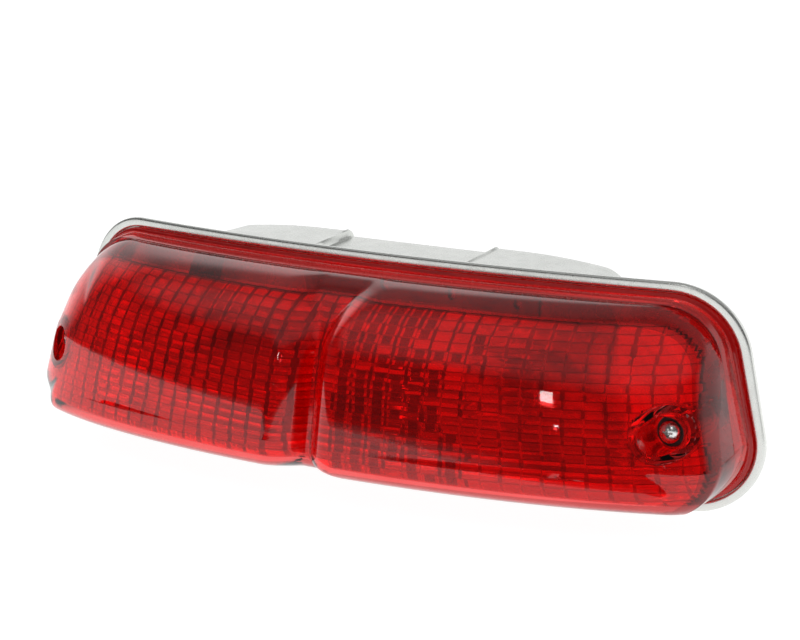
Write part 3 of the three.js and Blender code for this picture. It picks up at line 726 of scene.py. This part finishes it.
def make_housing():
    """The metallised shell: the chamber, the swept flange with its lip, the screw posts and the holes."""
    wall = HOUSING_WALL * 1.15
    inner_back = chamber_ring(BACK_SCALE, 38, wall, -HOUSING_WALL)
    inner_front = chamber_ring(BODY_SCALE, 35.5, wall, (7,))
    flange_inner = flange_ring(-5.8, 5.6)
    turns = np.linspace(0, math.pi / 2, 5)
    lip = [(1.3 - 0.8 * math.cos(a), 0.65 - 0.75 * math.sin(a)) for a in turns]
    lip += [(LIP - 0.8 + 0.9 * math.sin(a), 0.65 - 0.75 * math.cos(a)) for a in turns]
    profile = [
        (-5.8, 5.6), (-5.8, 1.8), (-5.6, 1.6), (-4.2, 1.6), (-4.2, 3.6), (0.5, 3.6), (0.5, 0.65), *lip,
        (LIP + 0.1, 1.5), (LIP, 1.95), (LIP - 0.25, 2.25), (LIP - 0.7, 2.35), (1.7, 2.45), (1.4, 2.65),
        (1.25, 3.0), (1.2, 3.6), (1.0, 6.8), (0.85, 7.4), (0.5, 7.85), (-0.1, 8.05)]
    flange = [flange_ring(o, b) for o, b in profile]
    outer_front = chamber_ring(BODY_SCALE, 35.5, 0, (9.5,))
    outer_back = chamber_ring(BACK_SCALE, 38, 0, -2.4)
    turn = [chamber_ring(BACK_SCALE, 38, 2.4 * (1 - math.cos(a)), -2.4 + 2.4 * math.sin(a))
            for a in np.linspace(0, math.pi / 2, 7)[1:]]
    housing = skin("housing_shell", [
        inner_back, *between(inner_back, inner_front, 6),
        inner_front, *shoulder(inner_front, flange_inner, (7, 5.6), 8),
        *flange, *shoulder(flange[-1], outer_front, (8.05, 9.5), 10),
        outer_front, *between(outer_front, outer_back, 8),
        outer_back, *turn], "metallised_shell")

    def post(side):
        return turned("post", [(0, POST_FRONT_Y), (POST_R - 0.5, POST_FRONT_Y), (POST_R, POST_FRONT_Y + 0.5),
                               (POST_R, POST_BACK_Y - 0.8), (POST_R - 0.8, POST_BACK_Y), (0, POST_BACK_Y)],
                      side * SCREW_X, SCREW_Z, "metallised_shell")

    housing = combined(housing, both_sides("posts", post, "metallised_shell"), "UNION")
    holes = [rod("hole", GROMMET_HOLE_R + 1.8, -4, 2, 0, GROMMET_Z)]
    for side in (-1, 1):
        holes.append(rod("hole", SOCKET_R + 0.3, -4, 2, side * BULB_X))
        holes.append(rod("hole", STUD_R + 0.3, -4, 2, side * STUD_X))
        pilot = rod("hole", SCREW_R + 0.1, POST_FRONT_Y - 1, POST_BACK_Y - 1.5, side * SCREW_X, SCREW_Z)
        holes.append(pilot)
    housing = combined(housing, merged("holes", holes, "metallised_shell"), "DIFFERENCE")
    left, right, low, high = REST_PAD
    groove = block("groove", left - 1, right + 1, -0.5, 1, low - 1, high + 1)
    groove = combined(groove, block("pad", left, right, -1, 2, low, high), "DIFFERENCE")
    return combined(housing, groove, "DIFFERENCE")


stands_for(make_housing(), "root", "metallised_shell", "housing")

# ---- gasket, screws, studs and washers ------------------------------------------------
SIDES = (("left", -1), ("right", 1))


def make_gasket():
    section = [
        (-3.8, 2.5), (-3.5, 2.2), (-0.2, 2.2), (0.1, 2.5), (0.1, 3.0), (-0.2, 3.3), (-3.5, 3.3), (-3.8, 3.0)]
    return skin("gasket_seal", [flange_ring(o, b) for o, b in section], "pale_seal", loop=True)


def cross_cutter(x, z, front, back):
    """A tapered cross recess, as two crossed wedges with a centre cone."""
    long, thin = 2.1, 0.42
    pieces = []
    for turn in (0, 1):
        points = []
        for y, wide, narrow in ((front, long, thin), (back, long * 0.45, thin * 0.7)):
            for a, b in ((-wide, -narrow), (wide, -narrow), (wide, narrow), (-wide, narrow)):
                points.append((x + (b if turn else a), y, z + (a if turn else b)))
        faces = [(0, 1, 2, 3), (7, 6, 5, 4), (0, 4, 5, 1), (1, 5, 6, 2), (2, 6, 7, 3), (3, 7, 4, 0)]
        pieces.append(mesh_of("wedge", points, faces, ("bright_steel",)))
    cross = combined(pieces[0], pieces[1], "UNION")
    profile = [(0, front), (1.15, front), (0.5, back), (0, back + 0.2)]
    cone = turned("cone", profile, x, z, "bright_steel", 32)
    return combined(cross, cone, "UNION")


def make_screw(word, side):
    x = side * SCREW_X
    under = mouth_y(x) + RECESS_DEPTH - 1.6
    crown = [(3.6 * math.sin(a), under - 0.9 - 1.8 * math.cos(a) ** 1.2)
             for a in np.linspace(0, math.pi / 2, 12)]
    profile = [*crown, (3.6, under - 0.15), (3.45, under), (0, under)]
    head = turned(f"screw_head_{word}", profile, x, SCREW_Z, "bright_steel")
    head = combined(head, cross_cutter(x, SCREW_Z, under - 3.2, under - 0.9), "DIFFERENCE")
    shank = threaded("shank", SCREW_R, under - 0.4, SCREW_TIP_Y, x, SCREW_Z, 0.7, 0.38, "bright_steel")
    screw = combined(head, shank, "UNION")
    stands_for(screw, f"screw_{word}", "bright_steel", f"lens_screw_{word}")


def make_mount(word, side):
    x = side * STUD_X
    back = -HOUSING_WALL - 0.3
    stud = rod(f"stud_{word}", 8, back - 1.8, back, x)
    shaft = threaded("shaft", STUD_R, -4.2, 21, x, 0, 1.0, 0.5, "zinc_steel")
    stands_for(bevelled(combined(stud, shaft, "UNION"), 0.12), "root", "zinc_steel", f"mounting_stud_{word}")
    rubber = turned(f"mount_rubber_{word}", [
        (3.3, 0.6), (3.6, 0.3), (8.8, 0.3), (9.5, 0.55), (9.95, 1.0), (10, 1.3), (9.8, 2.0), (9.3, 3.0),
        (8.9, 3.3), (3.6, 3.3), (3.3, 3.0), (3.3, 0.6)], x, 0, "rubber")
    stands_for(rubber, "root", "rubber", f"mounting_rubber_{word}")
    washer = turned(f"mount_washer_{word}", [
        (3.3, 3.75), (3.45, 3.6), (7.85, 3.6), (8, 3.75), (8, 4.95), (7.85, 5.1), (3.45, 5.1), (3.3, 4.95),
        (3.3, 3.75)], x)
    stands_for(washer, "root", "zinc_steel", f"mounting_washer_{word}")
    nut = rod(f"mount_nut_{word}", 5.8, 5.4, 10.4, x, 0, "zinc_steel", 6)
    chamfer = turned("chamfer", [
        (0, 5.2), (5.0, 5.2), (5.85, 5.75), (5.85, 10.05), (5.0, 10.6), (0, 10.6)], x)
    bore = turned("bore", [(0, 5), (3.7, 5), (3.15, 5.9), (3.15, 9.9), (3.7, 10.8), (0, 10.8)], x)
    nut = combined(combined(nut, chamfer, "INTERSECT"), bore, "DIFFERENCE")
    stands_for(bevelled(nut, 0.1), "root", "zinc_steel", f"mounting_nut_{word}")
    seat = mouth_y(side * SCREW_X) + RECESS_DEPTH
    ring = turned(f"seal_ring_{word}", [
        (2.2, seat - 1.1), (2.4, seat - 1.3), (4.7, seat - 1.3), (5, seat - 1.0), (5, seat - 0.6),
        (4.7, seat - 0.3), (2.4, seat - 0.3), (2.2, seat - 0.5), (2.2, seat - 1.1)],
        side * SCREW_X, SCREW_Z, "rubber")
    stands_for(ring, "lens_body", "rubber", f"screw_washer_{word}")


# ---- bulbs and their sockets ----------------------------------------------------------
SOCKET_BORE_R = 8.2
SOCKET_MOUTH_Y, SOCKET_BACK_Y = -24.0, 8.0
CAP_R, CAP_BACK_Y, CAP_FRONT_Y = 7.5, -4.5, -23.5
PIN_R, PIN_REACH, PIN_LEVELS = 1.0, 9.5, (-12.0, -15.0)
BULB_TWIST, BULB_PRESS = 20.0, 2.5
GLASS_R, GLASS_FRONT_Y = 12.5, -57.0
FILAMENTS = (("brake", -44.0, 1.0), ("tail", -38.0, -1.0))
FILAMENT_HALF = 3.0


def sector(inner, outer, start, end, y0, y1, x):
    """Part of a ring about the Y axis at (x, 0), between two angles in degrees."""
    angles = np.radians(np.linspace(start, end, 13))
    points, faces = [], []
    for a in angles:
        for r, y in ((inner, y0), (outer, y0), (outer, y1), (inner, y1)):
            points.append((x + r * math.cos(a), y, r * math.sin(a)))
    for k in range(len(angles) - 1):
        for c in range(4):
            d = (c + 1) % 4
            faces.append((4 * k + c, 4 * k + d, 4 * k + 4 + d, 4 * k + 4 + c))
    faces.append((0, 1, 2, 3))
    faces.append(tuple(len(points) - n for n in (1, 2, 3, 4)))
    return mesh_of("sector", points, faces, ("zinc_steel",))


def make_socket(word, side):
    x = side * BULB_X
    lip = [(SOCKET_BORE_R + 0.4 - 0.4 * math.cos(a), SOCKET_MOUTH_Y + 0.4 - 0.4 * math.sin(a))
           for a in np.linspace(0, math.pi, 7)]
    socket = turned(f"socket_shell_{word}", [
        *lip, (SOCKET_R, -4.4), (9.3, -4.1), (13.8, -4.1), (14, -3.9), (14, -2.7), (13.8, -2.5),
        (9.2, -2.5), (SOCKET_R, -2.3), (SOCKET_R, 7.4), (8.4, 8), (4, 8), (4, 7.1),
        (SOCKET_BORE_R, 7.1), lip[0]], x)
    pin_half = math.degrees((PIN_R + 0.4) / SOCKET_BORE_R)
    cutters = []
    for i, level in enumerate(PIN_LEVELS):
        start = 180 * i
        window = sector(7.4, 10, start - pin_half, start + BULB_TWIST + pin_half, level - PIN_R - 0.4,
                        level + PIN_R + BULB_PRESS + 0.4, x)
        middle = start + BULB_TWIST
        entry = sector(7.3, 10.1, middle - pin_half, middle + pin_half, SOCKET_MOUTH_Y - 1, level, x)
        cutters.append(combined(window, entry, "UNION"))
    socket = combined(socket, merged("windows", cutters, "zinc_steel"), "DIFFERENCE")
    stands_for(bevelled(socket, 0.08), "root", "zinc_steel", f"bulb_socket_{word}")


def make_bulb(word, side):
    x = side * BULB_X
    cap = turned(f"bulb_base_{word}", [
        (0, CAP_BACK_Y), (CAP_R - 0.9, CAP_BACK_Y), (CAP_R - 0.3, CAP_BACK_Y - 0.25),
        (CAP_R, CAP_BACK_Y - 0.9), (CAP_R, -20.8), (CAP_R - 0.25, -21.1), (CAP_R - 0.25, -21.6),
        (CAP_R, -21.9), (CAP_R, CAP_FRONT_Y + 0.2), (CAP_R - 0.2, CAP_FRONT_Y),
        (CAP_R - 0.5, CAP_FRONT_Y), (CAP_R - 0.5, CAP_FRONT_Y + 5), (0, CAP_FRONT_Y + 5)],
        x, 0, "brass")
    for z in (-3, 3):
        bead = [(1.5 * math.cos(a), CAP_BACK_Y + 1.0 * math.sin(a)) for a in np.linspace(0, math.pi / 2, 6)]
        solder = turned("solder", [(0, CAP_BACK_Y - 1), (1.5, CAP_BACK_Y - 1), *bead], x, z, "brass", 32)
        cap = combined(cap, solder, "UNION")
    for level, way in zip(PIN_LEVELS, (1, -1)):
        pin = turned("pin", [
            (0, 0), (PIN_R, 0), (PIN_R, PIN_REACH - 5.3), (PIN_R - 0.3, PIN_REACH - 5), (0, PIN_REACH - 5)],
            0, 0, "brass", 32)
        place = Matrix.Translation(((x + way * 5) * MM, level * MM, 0))
        pin.data.transform(place @ Matrix.Rotation(-way * math.pi / 2, 4, "Z"))
        cap = combined(cap, pin, "UNION")
    stands_for(cap, f"bulb_{word}", "brass", f"bulb_cap_{word}")

    outer, inner = [], []
    neck = 6.7
    for k in range(33):
        a = math.pi * 0.80 * k / 32
        outer.append((GLASS_R * math.sin(a), GLASS_FRONT_Y + 13 - 13 * math.cos(a)))
        inner.append(((GLASS_R - 0.8) * math.sin(a), GLASS_FRONT_Y + 13 - 12.1 * math.cos(a)))
    outer += [(7.0, -30.0), (neck, -27.0), (neck, CAP_FRONT_Y + 4.6)]
    inner += [(6.1, -30.4), (neck - 0.9, -27.2), (neck - 0.9, CAP_FRONT_Y + 4.6)]
    glass = turned(f"bulb_envelope_{word}", [*outer, *inner[::-1]], x, 0, "clear_glass")
    stands_for(glass, f"bulb_{word}", "clear_glass", f"bulb_glass_{word}")

    stem = turned(f"bulb_mount_{word}", [
        (0, CAP_FRONT_Y + 4.4), (4.6, CAP_FRONT_Y + 4.2), (4.4, CAP_FRONT_Y + 2),
        (3.4, CAP_FRONT_Y - 1.5), (2.4, CAP_FRONT_Y - 4), (1.7, CAP_FRONT_Y - 6), (1.0, CAP_FRONT_Y - 6.6),
        (0, CAP_FRONT_Y - 6.8)], x, 0, "clear_glass")
    for kind, y, z in FILAMENTS:
        for end in (-1, 1):
            foot = (x + end * 1.2, CAP_FRONT_Y - 2, z * 0.8)
            bend = (x + end * (FILAMENT_HALF + 0.2), CAP_FRONT_Y - 5, z)
            top = (x + end * (FILAMENT_HALF + 0.2), y + 0.4, z)
            stem = combined(stem, wire("lead", [foot, bend, top], 0.3, "clear_glass"), "UNION")
        turns = coil(0.5, 9, -FILAMENT_HALF, FILAMENT_HALF, 0, 0, 150)
        path = [(x + py, y - 0.6 + px, z + pz) for px, py, pz in turns]
        filament = wire(f"{kind}_coil_{word}", path, 0.14, "tungsten", 6)
        stands_for(filament, f"bulb_{word}", "tungsten", f"{kind}_filament_{word}")
    stem.data.materials.clear()
    stem.data.materials.append(MATERIALS["clear_glass"])
    stands_for(stem, f"bulb_{word}", "clear_glass", f"bulb_stem_{word}")

    plate = turned(f"contact_board_{word}", [
        (0, -3.2), (7.7, -3.2), (7.9, -3.0), (7.9, -0.6), (7.7, -0.4), (0, -0.4)], x, 0, "insulating_board")
    rivet_profile = [(0, -1), (1.3, -1), (1.3, 1.1), (1.0, 1.4), (0, 1.4)]
    for z in (-3, 3):
        rivet = turned("rivet", rivet_profile, x, z, "insulating_board", 32)
        plate = combined(plate, rivet, "UNION")
    stands_for(plate, f"contact_{word}", "insulating_board", f"contact_plate_{word}")
    path = coil(6, 2.5, 0.5, SOCKET_BACK_Y - 1.9, x, 0, 90)
    spring = wire(f"contact_coil_{word}", path, 0.42, "bright_steel")
    stands_for(spring, "root", "bright_steel", f"contact_spring_{word}")
    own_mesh(spring)


def make_boot(word, side):
    boot = turned(f"wire_boot_{word}", [
        (9.3, 1.1), (9.6, 0.8), (12.1, 0.8), (12.4, 1.1), (12.4, 2.8), (12.0, 3.2), (11.2, 3.6), (10.9, 4.1),
        (10.9, 6.0), (10.5, 6.4), (10.5, 7.2), (10.9, 7.6), (10.9, 9.2), (10.5, 9.6), (10.5, 10.4),
        (10.9, 10.8), (10.9, 12.0), (10.2, 13.4), (7.6, 15.9), (6.6, 16.9), (6.5, 17.6), (6.5, 20.6),
        (6.1, 21), (3.6, 21), (3.2, 20.6), (3.2, 16), (7.6, 9.5), (9.3, 9.2), (9.3, 1.1)],
        side * BULB_X, 0, "rubber")
    stands_for(boot, "root", "rubber", f"socket_boot_{word}")


def make_grommet():
    hole = GROMMET_HOLE_R
    grommet = turned("wire_grommet", [
        (hole - 1.5, -4.7), (hole - 1.2, -5), (hole + 3.3, -5), (hole + 3.6, -4.7), (hole + 3.6, -2.8),
        (hole + 3.3, -2.5), (hole + 1.5, -2.5), (hole + 1.5, 0.3), (hole + 3.4, 0.3), (hole + 3.6, 0.6),
        (hole + 3.4, 2.4), (hole + 3.0, 3.1), (hole + 0.5, 4.3), (hole, 4.5), (hole - 1.2, 4.5),
        (hole - 1.5, 4.2), (hole - 1.5, -4.7)], 0, GROMMET_Z, "rubber")
    stands_for(grommet, "root", "rubber", "cable_grommet")


def make_earth_strip():
    strip = block("earth_bar", -48, 48, -3.4, -2.5, 17, 24)
    slots = [rod("slot", 1.6, -5, -1, x, 20.5, "zinc_steel", 32) for x in (-40, -14, 14, 40)]
    strip = combined(strip, merged("slots", slots, "zinc_steel"), "DIFFERENCE")
    stands_for(bevelled(strip, 0.15), "root", "zinc_steel", "earth_strip")


stands_for(make_gasket(), "root", "pale_seal", "lens_gasket")
make_grommet()
make_earth_strip()
for word, side in SIDES:
    make_screw(word, side)
    make_mount(word, side)
    make_socket(word, side)
    make_bulb(word, side)
    make_boot(word, side)

# ---- light and stage ------------------------------------------------------------------
FLOOR_Z, FLOOR_SIDE = -0.0386, 8.0
WORLD_FLOOR, WORLD_BACK, WORLD_TOP, WORLD_DARK = 1.0, 1.0, 0.42, 0.07


def make_world():
    """White below, behind and overhead; dark in front, where the studio is."""
    world = bpy.data.worlds.new("studio")
    world.use_nodes = True
    scene.world = world
    tree = world.node_tree
    background = tree.nodes["Background"]
    background.inputs["Color"].default_value = (1, 1, 1, 1)
    place = tree.nodes.new("ShaderNodeTexCoord")
    split = tree.nodes.new("ShaderNodeSeparateXYZ")
    tree.links.new(place.outputs["Generated"], split.inputs["Vector"])

    def ramp(axis, start, end, low, high):
        node = tree.nodes.new("ShaderNodeMapRange")
        node.interpolation_type = "SMOOTHSTEP"
        for key, value in (("From Min", start), ("From Max", end), ("To Min", low), ("To Max", high)):
            node.inputs[key].default_value = value
        tree.links.new(split.outputs[axis], node.inputs["Value"])
        return node.outputs["Result"]

    def math_node(operation, first, second):
        node = tree.nodes.new("ShaderNodeMath")
        node.operation = operation
        tree.links.new(first, node.inputs[0])
        tree.links.new(second, node.inputs[1])
        return node.outputs["Value"]

    floor = ramp("Z", 0.02, -0.03, 0.0, WORLD_FLOOR)
    back = math_node("MULTIPLY", ramp("Y", 0.0, 0.4, 0.0, WORLD_BACK), ramp("Z", 0.64, 0.5, 0.3, 1.0))
    top = math_node("MULTIPLY", ramp("Z", 0.42, 0.75, 0.0, WORLD_TOP), ramp("Y", 0.3, -0.1, 0.35, 1.0))
    dark = tree.nodes.new("ShaderNodeValue").outputs["Value"]
    dark.default_value = WORLD_DARK
    total = math_node("MAXIMUM", math_node("MAXIMUM", floor, back), math_node("MAXIMUM", top, dark))
    path = tree.nodes.new("ShaderNodeLightPath")
    tree.links.new(math_node("MAXIMUM", total, path.outputs["Is Camera Ray"]), background.inputs["Strength"])


def make_panel(name, target, azimuth, elevation, distance, width, height, radiance):
    """A light panel seen from target, in millimetres, in that direction."""
    a, e = math.radians(azimuth), math.radians(elevation)
    away = Vector((math.sin(a) * math.cos(e), -math.cos(a) * math.cos(e), math.sin(e)))
    data = bpy.data.lights.new(name, "AREA")
    data.shape = "RECTANGLE"
    data.size, data.size_y = width, height
    data.energy = radiance * math.pi * width * height
    light = bpy.data.objects.new(name, data)
    light.location = Vector(target) * MM + away * distance
    light.rotation_mode = "QUATERNION"
    light.rotation_quaternion = away.to_track_quat("Z", "Y")
    light.visible_camera = False
    scene.collection.objects.link(light)


def make_stage():
    data = bpy.data.meshes.new("floor")
    corners = [(x * FLOOR_SIDE, y * FLOOR_SIDE, FLOOR_Z) for x, y in ((-1, -1), (1, -1), (1, 1), (-1, 1))]
    data.from_pydata(corners, [], [(0, 1, 2, 3)])
    floor = bpy.data.objects.new("floor", data)
    nodes = Nodes("floor_white", (0.2, 0.2, 0.2), 0.6)
    mottle = nodes.tint(nodes.noise(3, 2), (0.2, 0.2, 0.2), (0.22, 0.22, 0.22))
    nodes.link(mottle, nodes.shader.inputs["Base Color"])
    nodes.put("Emission Color", (1, 1, 1, 1))
    nodes.put("Emission Strength", 0.97)
    data.materials.append(nodes.material)
    scene.collection.objects.link(floor)


make_stage()
make_panel("window", (85.5, -66.9, 6.4), 6, 24, 1.2, 0.06, 0.13, 14)
make_panel("spot", (89.7, -68.3, -2.4), 8, 7, 1.2, 0.02, 0.022, 18)
make_world()
scene.view_settings.view_transform = "Standard"
